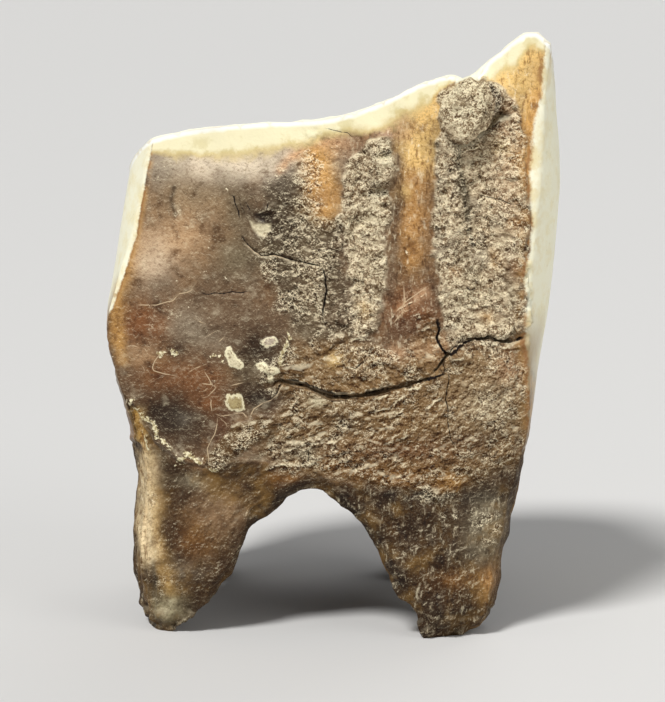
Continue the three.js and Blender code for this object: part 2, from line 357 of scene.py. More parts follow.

# Stains of the wall in the order they are laid, with painted shade and shadows among them: colour, strength,
# shape, its place and its reach.
# A blob's turn in degrees may follow.
STAINS = [
    ("mauve", 0.9, blob, (266, 783), (11, 2.2)),
    ("mauve", 0.7, blob, (429, 799), (4, 2)),
    ("slate", 0.55, blob, (124, 769), (2.4, 2.2)),
    ("ash_tan", 0.7, blob, (194, 733), (4.5, 3)),
    ("moss", 0.75, blob, (292, 708), (2.2, 4)),
    ("moss", 0.95, blob, (294, 630), (3.6, 2.8)),
    ("tan", 0.95, blob, (167, 662), (4.6, 3.8), 25),
    ("tan", 0.8, blob, (85, 637), (2.6, 3.6)),
    ("mauve", 0.35, blob, (112, 625), (2.6, 3)),
    ("golden", 0.8, stroke, [(54, 650), (34, 584), (21, 538)], 1.2),
    ("plum", 0.8, blob, (255, 538), (8, 4.6)),
    ("haze", 0.45, blob, (176, 526), (2.2, 2)),
    ("haze", 0.45, blob, (215, 508), (3.2, 1.4), -25),
    ("russet", 1.0, blob, (85, 521), (3, 2.7)),
    ("golden", 0.9, stroke, [(24, 559), (26, 510), (39, 465)], 0.8),
    ("tan", 0.75, blob, (82, 472), (2, 1.3)),
    ("rust", 1.0, blob, (174, 430), (5.4, 2.3)),
    ("umber", 0.95, blob, (150, 374), (4.7, 3.4)),
    ("crack", 0.5, blob, (150, 372), (4.4, 3)),
    ("slate", 0.6, blob, (170, 366), (1.1, 0.9)),
    ("rust", 0.8, blob, (228, 399), (2.4, 1.4)),
    ("russet_dark", 0.95, blob, (261, 349), (1.7, 3)),
    ("umber", 0.9, blob, (340, 480), (3.4, 3.2)),
    ("moss", 0.75, blob, (316, 445), (2.6, 2)),
    ("umber", 0.95, blob, (337, 402), (3.4, 2.2)),
    # Painted shadow above the chip.
    ("umber", 0.8, blob, (346, 697), (3, 1.2), -35),
    ("umber", 0.5, blob, (403, 750), (2.4, 3.6)),
    ("rosy", 0.9, blob, (488, 819), (3.8, 1.7)),
    ("rosy", 0.9, stroke, [(385, 779), (414, 799), (442, 816), (468, 831)], 0.7),
    ("amber", 1.0, stroke, AMBER_RIB, 1.9),
    ("copper", 0.9, blob, (477, 733), (2, 1.8)),
    ("plum", 0.6, blob, (505, 551), (2, 3)),
    ("honey", 1.0, stroke, [(702, 898), (693, 849), (686, 799)], 2.6),
    ("rosy", 0.8, blob, (621, 846), (3, 1.4)),
    ("copper", 1.0, stroke, [(678, 758), (673, 692), (671, 642)], 2.1),
    ("honey", 0.75, blob, (649, 743), (0.9, 1.1)),
    # Painted shade in the gap between the cement and the left edge of the rib.
    ("plum", 0.75, stroke, [(640, 799), (640, 708), (632, 634), (621, 534)], 0.7),
    ("russet", 0.9, blob, (673, 551), (3.4, 2.8)),
    ("rosy", 0.6, stroke, [(632, 540), (664, 562), (700, 580)], 0.6),
    ("honey", 1.0, stroke, [(930, 968), (882, 935), (839, 912)], 1.5),
    ("honey", 1.0, blob, (885, 918), (3, 2.6)),
    ("honey", 1.0, stroke, [(954, 961), (937, 882)], 1.9),
    ("amber", 0.95, stroke, [(937, 898), (928, 832), (924, 750)], 1.1),
    ("copper", 0.9, stroke, [(922, 733), (922, 634)], 0.8),
    ("honey", 0.7, blob, (507, 468), (1, 0.8)),
    ("shard", 0.85, blob, (466, 400), (1.2, 0.8), -10),
    ("russet_dark", 0.75, blob, (655, 526), (2.4, 1.5), 25),
    ("rosy", 0.45, stroke, [(636, 481), (734, 488), (821, 508)], 1.3),
    ("rosy", 0.75, blob, (891, 458), (2.2, 2.4)),
    ("bone", 0.3, blob, (840, 400), (4, 5)),
    ("ash_tan", 0.45, blob, (455, 600), (2.4, 7)),
    ("russet", 0.6, blob, (647, 316), (9, 1.6)),
    ("umber", 0.5, blob, (527, 361), (4, 1.6), -10),
    ("russet_dark", 0.5, blob, (800, 336), (5, 1.2)),
    ("ash", 0.7, blob, (429, 316), (3, 1.6)),
    ("tan", 0.6, blob, (327, 339), (2.4, 2)),
    ("ochre", 0.95, blob, (401, 266), (2.4, 1)),
    ("ochre", 0.95, stroke, [(505, 293), (582, 280), (669, 270), (756, 266)], 1.3),
    ("golden", 0.8, blob, (767, 263), (2, 1)),
    ("umber", 0.95, stroke, [(621, 240), (734, 238), (865, 234)], 0.9),
    ("ash", 0.95, blob, (839, 179), (2.8, 4.4)),
    ("root_dark", 0.6, blob, (734, 137), (3, 2.4)),
    ("ochre", 0.8, blob, (782, 99), (4, 1.3)),
    ("amber_root", 0.85, blob, (848, 91), (1.7, 2.2)),
    ("root_dark", 0.9, blob, (767, 35), (4, 2.2)),
    ("umber", 0.8, stroke, [(527, 236), (593, 170), (647, 96)], 1.2),
    ("gold", 0.95, stroke, [(71, 369), (78, 328), (85, 289)], 0.8),
    ("gold", 0.6, stroke, [(85, 286), (102, 170), (135, 71)], 1.1),
    ("ash", 0.8, blob, (189, 258), (2.2, 0.8), -5),
    ("tan", 0.55, blob, (244, 203), (3.6, 3.2), 30),
    ("ochre", 0.6, blob, (189, 162), (2.6, 3)),
    ("umber", 0.7, stroke, [(451, 258), (368, 230), (320, 179), (294, 112)], 0.7),
    ("slate", 0.5, blob, (167, 112), (2.6, 1.6)),
    ("umber", 0.95, stroke, [(98, 117), (102, 74)], 0.35),
    ("root_pale", 1.0, stroke, [(80, 289), (76, 236), (71, 187), (78, 134)], 1.8),
    ("pale_tip", 1.0, blob, (130, 43), (2.4, 2)),
]

# Stains on the cement, with painted shade along the groove, a painted highlight on the great nodule and
# painted shadows beneath both nodules.
CEMENT_STAINS = [
    ("granular", 0.55, stroke, [(507, 708), (514, 634), (525, 568)], 0.7),
    ("plum", 0.85, stroke, [(534, 577), (534, 505)], 0.45),
    ("honey", 0.6, blob, (571, 551), (0.8, 1.1)),
    ("umber", 0.8, blob, (610, 563), (0.5, 0.4)),
    ("lichen", 0.8, blob, (614, 803), (0.9, 0.9)),
    ("umber", 0.7, blob, (597, 759), (1.1, 0.7)),
    # Painted shade along the groove that runs down from the great nodule.
    ("groove", 0.9, stroke, [(776, 809), (780, 758), (791, 708)], 0.75),
    ("umber", 0.75, stroke, [(776, 806), (780, 760), (790, 708), (797, 660)], 0.32),
    ("pinkish", 0.85, stroke, [(865, 882), (882, 816), (882, 733)], 2.2),
    ("amber", 0.8, stroke, [(911, 907), (920, 849), (917, 783)], 0.9),
    ("butter", 0.75, blob, (865, 816), (0.9, 0.7)),
    ("amber", 0.7, blob, (898, 799), (0.9, 1)),
    ("copper", 0.95, blob, (904, 692), (1.5, 1)),
    ("russet", 0.7, blob, (896, 624), (1.2, 2)),
    ("plum", 0.8, blob, (902, 553), (0.9, 1.4)),
    ("copper", 0.75, blob, (760, 612), (0.8, 0.8)),
    ("golden", 0.75, blob, (854, 632), (0.9, 1.3)),
    ("golden", 0.7, blob, (839, 539), (1, 0.9)),
    ("haze", 0.7, blob, (808, 634), (1.4, 1.3)),
    ("bone", 0.8, blob, (787, 574), (1.7, 1.1)),
    ("bone", 0.6, blob, (586, 708), (2, 2.6)),
    ("bone", 0.5, blob, (593, 625), (1.4, 3)),
    ("umber", 0.9, blob, (802, 659), (0.6, 0.25)),
    ("umber", 0.8, blob, (725, 827), (0.3, 0.8)),
    ("umber", 0.7, blob, (728, 758), (0.3, 0.7)),
    # Painted highlight on the upper left of the great nodule.
    ("shard", 0.8, blob, (800, 905), (3, 1.3)),
    ("shard", 0.6, blob, (778, 880), (2.4, 2.4)),
    # Painted shadow beneath the lower edge of the great nodule.
    ("umber", 0.95, stroke, [(768, 810), (787, 813), (803, 823), (826, 838), (850, 852), (876, 862)], 0.55),
    # Painted shadow beneath the small nodule.
    ("umber", 0.8, stroke, [(583, 740), (600, 738), (618, 741)], 0.4),
]

# Where more pale grains, their rims painted as highlights, lie on the wall than its ground has, or fewer:
# share, place and reach.
PALE_ZONES = [
    (0.45, (858, 390), (2.4, 1.6)), (0.3, (893, 455), (2.2, 2.2)), (0.35, (614, 468), (6, 1.8)),
    (0.3, (787, 574), (1.8, 1.4)), (-0.5, (882, 584), (1.8, 4)), (-0.4, (468, 455), (3, 1.5)),
    (0.35, (407, 568), (2.6, 3)), (0.3, (494, 650), (2, 2.5)), (0.3, (359, 617), (2, 2)),
    (-0.4, (346, 697), (2.4, 2)), (0.45, (800, 205), (4.6, 1.2)), (0.35, (848, 170), (2.2, 3)),
    (0.15, (331, 342), (2.6, 2.2)), (0.3, (429, 311), (3, 1.6)), (-0.3, (691, 336), (4, 1)),
    (0.25, (178, 692), (3.4, 3.4)), (0.35, (176, 526), (2.6, 2)), (0.25, (80, 510), (2.2, 2.4)),
    (0.35, (337, 455), (2.4, 1.6)), (0.25, (91, 203), (1.2, 7)), (-0.4, (891, 675), (1.8, 2.4)),
    (-0.3, (782, 758), (0.9, 4)), (0.5, (462, 745), (1.6, 4.5)), (0.25, (400, 700), (2.2, 3)),
    (0.4, (460, 590), (2.2, 6)), (-0.35, (647, 336), (7, 1.4)), (0.3, (599, 481), (3, 1)),
    (0.25, (810, 493), (3, 1)), (0.3, (124, 71), (2.4, 2)),
]


# ---- The fine mesh ----


def smooth_copy(source):
    """The solid's mesh as quads, rounded but for its sharp edges, and points along the rim of its top."""
    mesh = source.data.copy()
    bm = bmesh.new()
    bm.from_mesh(mesh)
    bmesh.ops.remove_doubles(bm, verts=bm.verts, dist=1e-6)
    bmesh.ops.join_triangles(
        bm, faces=bm.faces, angle_face_threshold=CREASE_ANGLE, angle_shape_threshold=math.pi
    )
    crease = bm.edges.layers.float.new("crease_edge")
    sharp = [edge for edge in bm.edges if edge.calc_face_angle(0) >= CREASE_ANGLE]
    for edge in sharp:
        edge[crease] = CREASE
    rim = rim_points(sharp)
    bm.to_mesh(mesh)
    bm.free()
    smooth = bpy.data.objects.new("smooth", mesh)
    bpy.context.scene.collection.objects.link(smooth)
    rounding = smooth.modifiers.new("rounding", "SUBSURF")
    rounding.use_limit_surface = False
    rounding.levels = 1
    fit_cage(smooth)
    rounding.levels = SUBDIVISIONS
    return applied(smooth), rim


def rim_points(sharp):
    """Points along those of the sharp edges that are the rim of the chewing surface."""
    rim = []
    for edge in sharp:
        a, b = (np.array(vertex.co) / MM for vertex in edge.verts)
        less, more = sorted(face.normal.z for face in edge.link_faces)
        if min(a[2], b[2]) > RIM_LOWEST and more - less > RIM_TURN:
            rim += [a + (b - a) * share for share in RIM_SHARES]
    rim = np.array(rim)
    return rim[hollow_field(rim) > RIM_PAST_HOLLOWS]


def fit_cage(obj):
    """Moves the cage out until the rounded surface goes through the points the cage had."""
    wanted = positions(obj.data)
    for _ in range(FITTING_ROUNDS):
        rounded = obj.evaluated_get(bpy.context.evaluated_depsgraph_get()).data
        missing = wanted - positions(rounded)[: len(wanted)]
        cage = positions(obj.data) + missing
        obj.data.vertices.foreach_set("co", (cage * MM).ravel())
        obj.data.update()
        obj.update_tag()


def applied(obj):
    """The object's mesh with its modifiers applied. The object itself goes."""
    graph = bpy.context.evaluated_depsgraph_get()
    mesh = bpy.data.meshes.new_from_object(obj.evaluated_get(graph))
    bpy.data.objects.remove(obj)
    return mesh


def positions(mesh):
    flat = np.empty(len(mesh.vertices) * 3)
    mesh.vertices.foreach_get("co", flat)
    return flat.reshape(-1, 3) / MM


def set_positions(mesh, points):
    """Moves the mesh's points, but never out of the solid's box."""
    mesh.vertices.foreach_set("co", (np.clip(points, LOW, HIGH) * MM).ravel())
    mesh.update()


def normals(mesh):
    flat = np.empty(len(mesh.vertices) * 3)
    mesh.vertex_normals.foreach_get("vector", flat)
    return flat.reshape(-1, 3)


class Surface:
    """Points of the tooth with what is known about where each lies. Shares go from 0 to 1."""

    def __init__(self, points, facing, rim):
        self.points = points
        _, y, z = points.T
        self.drift = 0.35 * np.column_stack([noise(points, 2.2, 3), noise(points, 2.2, 4)])
        self.at = points[:, [0, 2]]
        self.loose = self.at + self.drift
        self.front = smoothstep(-facing[:, 1], 0.1, 0.45) * smoothstep(-y, 10, 14)
        self.top = smoothstep(facing[:, 2], 0.3, 0.5) * smoothstep(z, 42, 45)
        self.rim = nearest_distance(points, z > RIM_LOWEST - RIM_MARGIN, rim)
        self.root = enamel_end(self)
        self.bare = bare_field(self)
        self.cement = cement_field(self)
        self.top *= 1 - smoothstep(self.cement, 0, 0.5)
        self.rough = roughness_field(self)
        self.hollow = hollow_field(points)
        self.crust = within(self.loose, CRUST, -1, 2) * self.front
        self.slanting = self.crust * smoothstep(-along_line(self.at, FRACTURES[0][0])[0], -0.5, 2)
        self.pale = pale_field(self)
        self.granular = granular_relief(self)


def nearest_distance(points, wanted, targets):
    """Millimetres from each wanted point to the nearest target, and a large distance at the others."""
    distance = np.full(len(points), RIM_FURTHEST)
    tree = KDTree(len(targets))
    for i, target in enumerate(targets):
        tree.insert(target, i)
    tree.balance()
    for i in np.flatnonzero(wanted):
        distance[i] = tree.find(points[i])[2]
    return distance


# The closed pits of the chewing surface: (across, back), reach across and back in millimetres.
PITS = [((582, 424), (7.0, 7.8)), ((242, 477), (6.4, 8.2))]
VALLEY_HEAD = (456, 440)
VALLEY_MOUTH = (440, 860)
VALLEY_RUN = 3  # times the way from its head to its mouth, so that it leaves the tooth
VALLEY_HALF_WIDTH = 4.2


def floor_place(place):
    return np.array([LOW[0] + place[0] / 1000 * SIZE[0], LOW[1] + place[1] / 1000 * SIZE[1]])


def hollow_field(points):
    """How far out of the nearest pit or valley of the top each point is: 0 in its middle, 1 at its lip."""
    wander = np.column_stack([layered(points, 4.5, 2, 21), layered(points, 4.5, 2, 23)])
    at = points[:, :2] + 0.9 * wander
    nearest = np.full(len(points), FAR)
    for place, reach in PITS:
        offset = (at - floor_place(place)) / reach
        nearest = np.minimum(nearest, np.hypot(*offset.T))
    head, mouth = floor_place(VALLEY_HEAD), floor_place(VALLEY_MOUTH)
    step = mouth - head
    t = np.clip((at - head) @ step / (step @ step), 0, VALLEY_RUN)
    distance = np.hypot(*(at - head - t[:, None] * step).T)
    return np.minimum(nearest, distance / VALLEY_HALF_WIDTH)


def cement_field(surface):
    """Millimetres into the cement, negative outside it."""
    field = np.full(len(surface.points), -FAR)
    for patch in CEMENT_PATCHES:
        field = np.maximum(field, inside(surface.loose, patch))
    field += 0.4 * layered(surface.points, 1.5, 3, 8)
    return np.where((surface.front > 0.2) | (surface.points[:, 1] < NOTCH_FRONT), field, -FAR)


def roughness_field(surface):
    """How granular the surface is, from 0 for polished enamel to 1 for cement."""
    points, loose = surface.points, surface.loose
    ragged = 0.8 * noise(points, 2.6, 9)
    lumps = np.maximum(surface.cement, inside(loose, TAN_RIDGE))
    cement = smoothstep(lumps + 0.3 * ragged, -0.25, 0.35)
    wander = 1.6 * layered(points, 4.5, 3, 14)
    ground = 0.8 * smoothstep(inside(loose, GRANULAR_GROUND) + wander, -1.4, 1.4)
    ground *= 1 - 0.5 * stroke(loose, AMBER_RIB, 1.9)
    crust = 0.85 * smoothstep(inside(loose, CRUST) + 1.2 * ragged, -1.5, 1.5)
    return np.maximum.reduce([cement, ground, crust]) * surface.front


def pale_field(surface):
    """How crowded the pale grains, their rims painted as highlights, are on the surface, from 0 to 1."""
    share = 0.04 + 0.46 * surface.rough + 0.35 * smoothstep(surface.cement, -0.2, 0.4)
    share += 0.04 * smoothstep(surface.root, -0.2, 1) * (1 - surface.rough)
    for more, place, reach in PALE_ZONES:
        share += more * surface.front * blob(surface.loose, place, reach)
    return np.clip(share, 0, 1)


def arch_flow(points):
    """Where each point lies along and across the striations that sweep round the arch between the roots."""
    x, z = points[:, 0] - wall([ARCH_MIDDLE])[0][0], points[:, 2]
    radius = np.hypot(x, 0.8 * z)
    turn = np.arctan2(z, x)
    return np.column_stack([radius / 0.75, turn * radius / 5.5, points[:, 1] / 2.5])


def lean_flow(points):
    """Where each point lies along and across the ridges that climb mesially over the neck."""
    x, y, z = points.T
    return np.column_stack([(x * 0.9 + z * 0.42) / 1.8, (z * 0.9 - x * 0.42) / 0.95, y / 2])


def enamel_end(surface):
    """Millimetres below the end of the enamel, negative on the crown."""
    x, y, z = surface.points.T
    edge = SIDE_ENAMEL_END * SIZE[2] + 1.6 * np.sin(0.13 * x + 0.09 * y) + 0.8 * noise(surface.points, 6, 31)
    behind = edge - z
    signed, _ = along_line(surface.at, ENAMEL_END)
    start, end = wall(DRAWN_UP_TO)[:, 0]
    drawn = surface.front * (1 - smoothstep(x, start, end))
    return behind * (1 - drawn) + -signed * drawn


def bare_field(surface):
    """Millimetres into the bare enamel of the two sides, which comes in slowly at the mesial one."""
    x, y, z = surface.points.T
    distal, _ = along_line(surface.at, DISTAL_BORDER)
    mesial, _ = along_line(surface.at, MESIAL_BORDER)
    on_wall = np.maximum(-distal, mesial / 2.2 + 0.2)
    limit = np.where(x < 0, DISTAL_BARE_ABOVE * SIZE[2], MESIAL_BARE_ABOVE * SIZE[2])
    limit = limit + 3.0 * layered(surface.points, 11, 3, 111)
    on_side = np.minimum(z - limit, 9 + 4 * layered(surface.points, 8, 3, 115) - y)
    to_side = smoothstep(y, -18, -12)
    ragged = 0.3 * noise(surface.points, 3, 118) + 0.15 * noise(surface.points, 1.1, 119)
    ragged *= 0.5 * smoothstep(x, 0, 10) + 2 * to_side
    return on_wall * (1 - to_side) + np.minimum(on_side, 6) * to_side + ragged


def terraces(points, grain, seed):
    """Flat plates with steep edges, from 0 to 1."""
    return smoothstep(layered(points, grain, 2, seed), -0.07, 0.07)


# Heights over the smooth solid and depths in it, in millimetres, and the half widths of two lines.
CEMENT_HEIGHT, TAN_RIDGE_HEIGHT, SMALL_NODULE_HEIGHT = 0.35, 0.35, 0.55
GREAT_NODULE_STEP, GREAT_NODULE_CROWN, FACET_DEPTH = 0.8, 1.0, 0.45
FLAKE_HEIGHT, CRUMB_HEIGHT = 0.16, 0.14
GROOVE_DEPTH, GROOVE_WIDTH = 0.5, 0.55
DENT_DEPTH, DENT_WIDTH = 0.22, 0.35
CHIP_DEPTH, CHIP_SHADOW_DEPTH = 0.25, 0.35
ENAMEL_RIDGE_HEIGHT, DENTINE_DEPTH = 0.45, 0.25
NARROWEST_SLOT, SLOT_SPREAD = 0.14, 1.15

# The grains of rough ground: height, size and seed.
GRAINS = [(0.16, 1.5, 51), (0.2, 0.8, 52), (0.14, 0.5, 53)]


def granular_relief(surface):
    """Height of the grains, plates and slanting ridges of rough ground."""
    p = surface.points
    rough, on_crust = surface.rough, surface.crust
    grains = sum(height * noise(p, size, seed) for height, size, seed in GRAINS)
    pits = -0.3 * smoothstep(noise(p, 1.7, 54), 0.45, 0.8)
    leaning = lean_flow(p)
    leaning += 0.35 * np.column_stack([noise(p, 2.0, 60), noise(p, 1.6, 66), noise(p, 2, 67)])
    ridges = 0.1 * terraces(leaning, 1.6, 55) + 0.11 * terraces(leaning, 0.8, 58) - 0.1
    plates = 0.3 * terraces(p, 2.6, 56) - 0.15
    lumps = 0.3 * noise(p, 3.4, 57)
    granular = rough * (grains + pits) * (1 - 0.2 * on_crust)
    steps = ridges * surface.slanting + plates * (on_crust - surface.slanting)
    return granular + steps + on_crust * lumps


def ledge_relief(at):
    signed, shown = line_field(at, LEDGES, LEDGE_REACH)
    return LEDGE_HEIGHT * shown * bump(signed, LEDGE_SLOPE)


def plates_relief(surface):
    """What stands on the wall or is missing from it: cement, flakes, ledges, the chip and the dent."""
    front, at, loose = surface.front, surface.at, surface.loose
    rugged = 1 + 0.35 * layered(surface.points, 2.2, 3, 59)
    height = CEMENT_HEIGHT * smoothstep(surface.cement, -0.15, 0.25)
    height += TAN_RIDGE_HEIGHT * rugged * within(loose, TAN_RIDGE, -0.6, 1)
    great = inside(loose, GREAT_NODULE)
    crown = GREAT_NODULE_CROWN * rugged * smoothstep(great, -0.2, 3.0)
    height += GREAT_NODULE_STEP * smoothstep(great, -0.15, 0.25) + crown
    height -= FACET_DEPTH * within(at, FACET, -0.2, 0.7)
    height += SMALL_NODULE_HEIGHT * rugged * within(loose, SMALL_NODULE, -0.2, 0.8)
    for line in GROOVE_LINES:
        height -= GROOVE_DEPTH * stroke(loose, line, GROOVE_WIDTH)
    for _, flake in FLAKES:
        height += FLAKE_HEIGHT * within(loose, flake, -0.1, 0.2)
    for line, half_width in CRUMBS:
        height += CRUMB_HEIGHT * stroke(loose, line, half_width)
    chip = CHIP_DEPTH * within(at, CHIP, -0.1, 0.3)
    height -= chip + CHIP_SHADOW_DEPTH * within(at, CHIP_SHADOW, -0.2, 0.3)
    return front * (height + ledge_relief(at) - DENT_DEPTH * stroke(at, DENT, DENT_WIDTH))


def root_relief(surface):
    """Fibres that sweep round the arch, knobs, the broken tips, and the lip where the enamel ends."""
    p = surface.points
    x, y, z = p.T
    front, rough, root = surface.front, surface.rough, surface.root
    on_root = smoothstep(root, 0, 0.5)
    upright = np.column_stack([x / 0.8, y / 0.8, z / 6])
    fibres = 0.14 * layered(arch_flow(p), 1.0, 3, 61) * front + 0.2 * noise(upright, 1.0, 62) * (1 - front)
    fibrous_edge = front * (1 - smoothstep(x, LOW[0] + 4, LOW[0] + 8))
    fibres += 0.35 * noise(upright, 1.0, 63) * fibrous_edge
    knobs = 0.22 * layered(p, 4.2, 3, 64)
    with_lip = 1 - smoothstep(x, LIP_END - 3, LIP_END) * np.where(y < 0, 1, 0.6)
    lip = with_lip * (0.3 * bump(root + 0.35, 0.4) - 0.25 * smoothstep(root, -0.05, 0.3))
    broken = (1 - smoothstep(z, 1.5, 6)) * 0.5 * layered(p, 1.8, 2, 65)
    return on_root * (fibres + knobs) * (1 - 0.8 * rough) + lip * (1 - rough) + broken


def chewing_relief(surface):
    """Enamel stands as ridges round the rim and the pits; cement fills the pits."""
    p, hollow = surface.points, surface.hollow
    behind_crest = smoothstep(p[:, 1], -20, -16)
    outer = ENAMEL_RIDGE_HEIGHT * bump(surface.rim - 1.0, 0.9) * behind_crest
    ridge = outer + ENAMEL_RIDGE_HEIGHT * bump((hollow - 0.8) * 6, 1.1)
    floor = -DENTINE_DEPTH * smoothstep(surface.rim, 0.5, 2.5) + 0.16 * layered(p, 5, 3, 73)
    filling = smoothstep(0.62 - hollow, 0, 0.2) * 0.35 * layered(p, 1.4, 2, 71)
    return surface.top * (ridge + floor + filling + 0.05 * noise(p, 0.9, 72))


def carving(surface):
    """Depth of the cracks and the undercuts."""
    depth = np.zeros(len(surface.points))
    for line, half_width, most in FRACTURES + CRACKS + UNDERCUTS:
        signed, from_end = along_line(surface.at + CRACK_WANDER * surface.drift, line)
        slot = np.exp(-np.abs(signed / (max(half_width, NARROWEST_SLOT) * SLOT_SPREAD)) ** 3)
        depth = np.maximum(depth, most * slot * smoothstep(from_end, -0.1, 0.9))
    return depth * surface.front


def relief(surface):
    """The height of the weathered surface over the smooth solid."""
    p = surface.points
    x, y, z = p.T
    calm = 1 - 0.85 * smoothstep(surface.bare, -0.4, 0.3)
    everywhere = 0.07 * layered(p, 7, 2, 41) + 0.035 * layered(p, 1.8, 2, 43)
    growth = np.column_stack([x / 9, y / 9, z / 0.9])
    plain_sides = (1 - surface.front) * (1 - surface.top) * (1 - smoothstep(surface.root, 0, 0.5))
    sides = plain_sides * (0.09 * noise(growth, 1.0, 81) + 0.16 * layered(p, 4.5, 2, 82))
    height = calm * (everywhere + sides) + surface.granular + plates_relief(surface)
    return height + root_relief(surface) + chewing_relief(surface) - carving(surface)


def weight_group(obj, name, weights):
    """A vertex group with the weights in equal steps."""
    group = obj.vertex_groups.new(name=name)
    level = np.round(weights * WEIGHT_STEPS).astype(int)
    for k in range(WEIGHT_STEPS + 1):
        members = np.flatnonzero(level == k)
        if len(members):
            group.add(members.tolist(), k / WEIGHT_STEPS, "REPLACE")


def set_field(mesh, name, values):
    attribute = mesh.attributes.new(name, "FLOAT", "POINT")
    attribute.data.foreach_set("value", np.ascontiguousarray(values, np.float32))


def set_vector(mesh, name, values):
    attribute = mesh.attributes.new(name, "FLOAT_VECTOR", "POINT")
    attribute.data.foreach_set("vector", np.ascontiguousarray(values, np.float32).ravel())


# ---- Colours, as seen in soft white light ----

COLOURS = {
    "enamel": (104, 80, 57), "enamel_warm": (146, 106, 64), "enamel_cold": (80, 68, 54),
    "granular": (84, 69, 50), "crust": (142, 110, 70), "cement": (206, 187, 154),
    "tan_crust": (104, 78, 46), "root": (66, 43, 16), "wax": (138, 104, 52), "root_dark": (50, 31, 12),
    "root_pale": (244, 220, 174), "mauve": (240, 222, 194), "rosy": (212, 168, 126),
    "ash_tan": (160, 138, 106), "moss": (112, 99, 76), "golden": (192, 146, 82), "ochre": (134, 90, 38),
    "tan": (188, 152, 112), "plum": (112, 90, 68), "russet": (130, 82, 46), "russet_dark": (88, 54, 32),
    "rust": (132, 84, 46), "umber": (42, 27, 15), "slate": (124, 114, 98), "amber": (222, 170, 98),
    "honey": (240, 200, 126), "copper": (178, 132, 76), "ash": (142, 132, 108),
    "shard": (244, 234, 196), "bone": (214, 202, 168), "lilac": (184, 168, 148),
    "pinkish": (198, 166, 128), "lichen": (152, 150, 118), "groove": (96, 84, 58),
    "haze": (160, 148, 126), "gold": (208, 164, 86), "amber_root": (198, 148, 86),
    # facet is painted shade on the side of the great nodule away from the light.
    "pale_tip": (168, 158, 124), "facet": (112, 100, 90), "hairline": (210, 186, 150),
    "olive": (206, 190, 128), "ivory": (243, 239, 212), "cream": (238, 229, 190),
    # white is a painted highlight along the rim of the top.
    "butter": (220, 198, 140), "white": (252, 252, 242), "dentine": (206, 184, 142),
    # pale_grain_and_highlight is pale grain that also serves as painted highlight; recess is dark stain that
    # also serves as painted shade.
    "pale_grain_and_highlight": (250, 236, 200), "dark_stain_and_shade": (140, 112, 80), "dust": (172, 154, 108),
    "crack": (24, 14, 8), "back": (132, 108, 76),
}


def linear(name):
    channels = np.array(COLOURS[name]) / 255
    return np.where(channels <= 0.04045, channels / 12.92, ((channels + 0.055) / 1.055) ** 2.4)


def blend(tone, name, amount):
    return tone + (linear(name) - tone) * np.clip(amount, 0, 1)[:, None]


def painted(tone, layers):
    for colour, amount in layers:
        tone = blend(tone, colour, amount)
    return tone


def stained(tone, stains, at, strength):
    for colour, most, shape, *where in stains:
        tone = blend(tone, colour, strength * most * shape(at, *where))
    return tone


def soft_tone(surface):
    """The slow colours of the tooth, without its grain: what stains what, on every side, with some painted
    shade and shadows among the stains.
    """
    points, at, front = surface.points, surface.loose, surface.front
    slow = layered(points, 9, 3, 101)
    patches = layered(points, 3.4, 4, 105, fall=0.65)
    below = smoothstep(surface.root, -0.2, 1.2)
    tone = painted(np.tile(linear("back"), (len(points), 1)), [
        ("ochre", smoothstep(slow, 0.0, 0.8)),
        ("root_dark", 0.6 * smoothstep(-slow, 0.1, 0.9)),
        ("enamel", front),
        ("enamel_warm", front * 0.4 * smoothstep(patches, 0.1, 0.9)),
        ("enamel_cold", front * 0.5 * smoothstep(-patches, 0.1, 0.9)),
        ("granular", front * within(at, GRANULAR_GROUND, -1.5, 1.5)),
        ("crust", surface.crust),
        ("root", below * (1 - 0.7 * surface.rough)),
        ("root_dark", below * 0.6 * smoothstep(slow, 0.1, 0.8) * (1 - 0.5 * front)),
    ])
    tone = stained(tone, STAINS, at, front * np.clip(1 + 0.3 * patches, 0, 1.15))
    cement = smoothstep(surface.cement, -0.2, 0.3) * front
    tone = painted(tone, [
        ("tan_crust", 0.9 * front * within(at, TAN_RIDGE, -0.3, 0.3)),
        ("cement", cement),
        ("slate", 0.5 * cement * smoothstep(patches, 0.1, 0.8)),
        ("groove", 0.45 * cement * smoothstep(-patches, 0.15, 0.8)),
    ])
    tone = stained(tone, CEMENT_STAINS, at, cement)
    return painted(tone, wall_details(surface))


def wall_details(surface):
    """The layers of colour of the facet and the dent, both painted shade, the flakes, and the chip with its
    painted shadow.
    """
    front, at = surface.front, surface.at
    return [
        # Painted shade on the facet, the side of the great nodule turned away from the light.
        ("facet", 0.9 * front * within(at, FACET, -0.2, 0.3)),
        *((colour, front * within(surface.loose, flake, -0.1, 0.1)) for colour, flake in FLAKES),
        ("umber", 0.7 * front * within(at, CHIP_SHADOW, -0.3, 0.3)),
        # Painted shade in the dent.
        ("umber", 0.7 * front * stroke(at, DENT, 0.3)),
        ("bone", 0.9 * front * within(at, CHIP, -0.1, 0.2)),
    ]


# How deep the pale band under the crest reaches: place across, and millimetres.
CREST_BAND = [(60, 1.0), (120, 1.6), (160, 2.9), (250, 3.7), (330, 3.5), (400, 2.9), (470, 2.3),
              (560, 2.4), (647, 2.9), (710, 2.8), (740, 1.8), (765, 0.9), (840, 1.8), (895, 2.4),
              (930, 1.5), (1000, 0.9)]
SIDE_BAND = 1.5
LINE_REACH = 2.0
ON_WALL = 0.3


